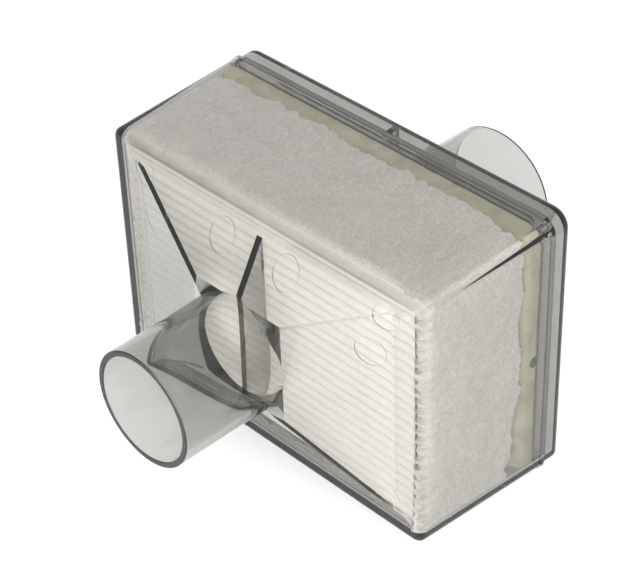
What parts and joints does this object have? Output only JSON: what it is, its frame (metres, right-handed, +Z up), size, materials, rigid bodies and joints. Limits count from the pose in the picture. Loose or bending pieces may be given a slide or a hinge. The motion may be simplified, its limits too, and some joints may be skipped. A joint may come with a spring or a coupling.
{
  "type": "breathing circuit filter",
  "caption": "Clear rectangular breathing filter: drafted tub and cover with low pyramid ends, a conical port on each side, and a pleated white pack sealed inside.",
  "frame": {"origin": "under the middle of the overall box, level with the lowest edge", "axes": "+X right, +Y along the ports' common axis from the front port to the rear port, +Z up"},
  "size_m": [0.077, 0.0878, 0.0542],
  "materials": {
    "smoke_plastic": "polished, see-through",
    "filter_paper": "matte",
    "fibre_mat": "matte",
    "sealant": "satin"
  },
  "bodies": {
    "root": {"front_housing": "smoke_plastic", "rear_cover": "smoke_plastic", "pleated_media": "filter_paper", "fibre_wrap": "fibre_mat", "sealant_frame": "sealant"}
  },
  "joints": []
}
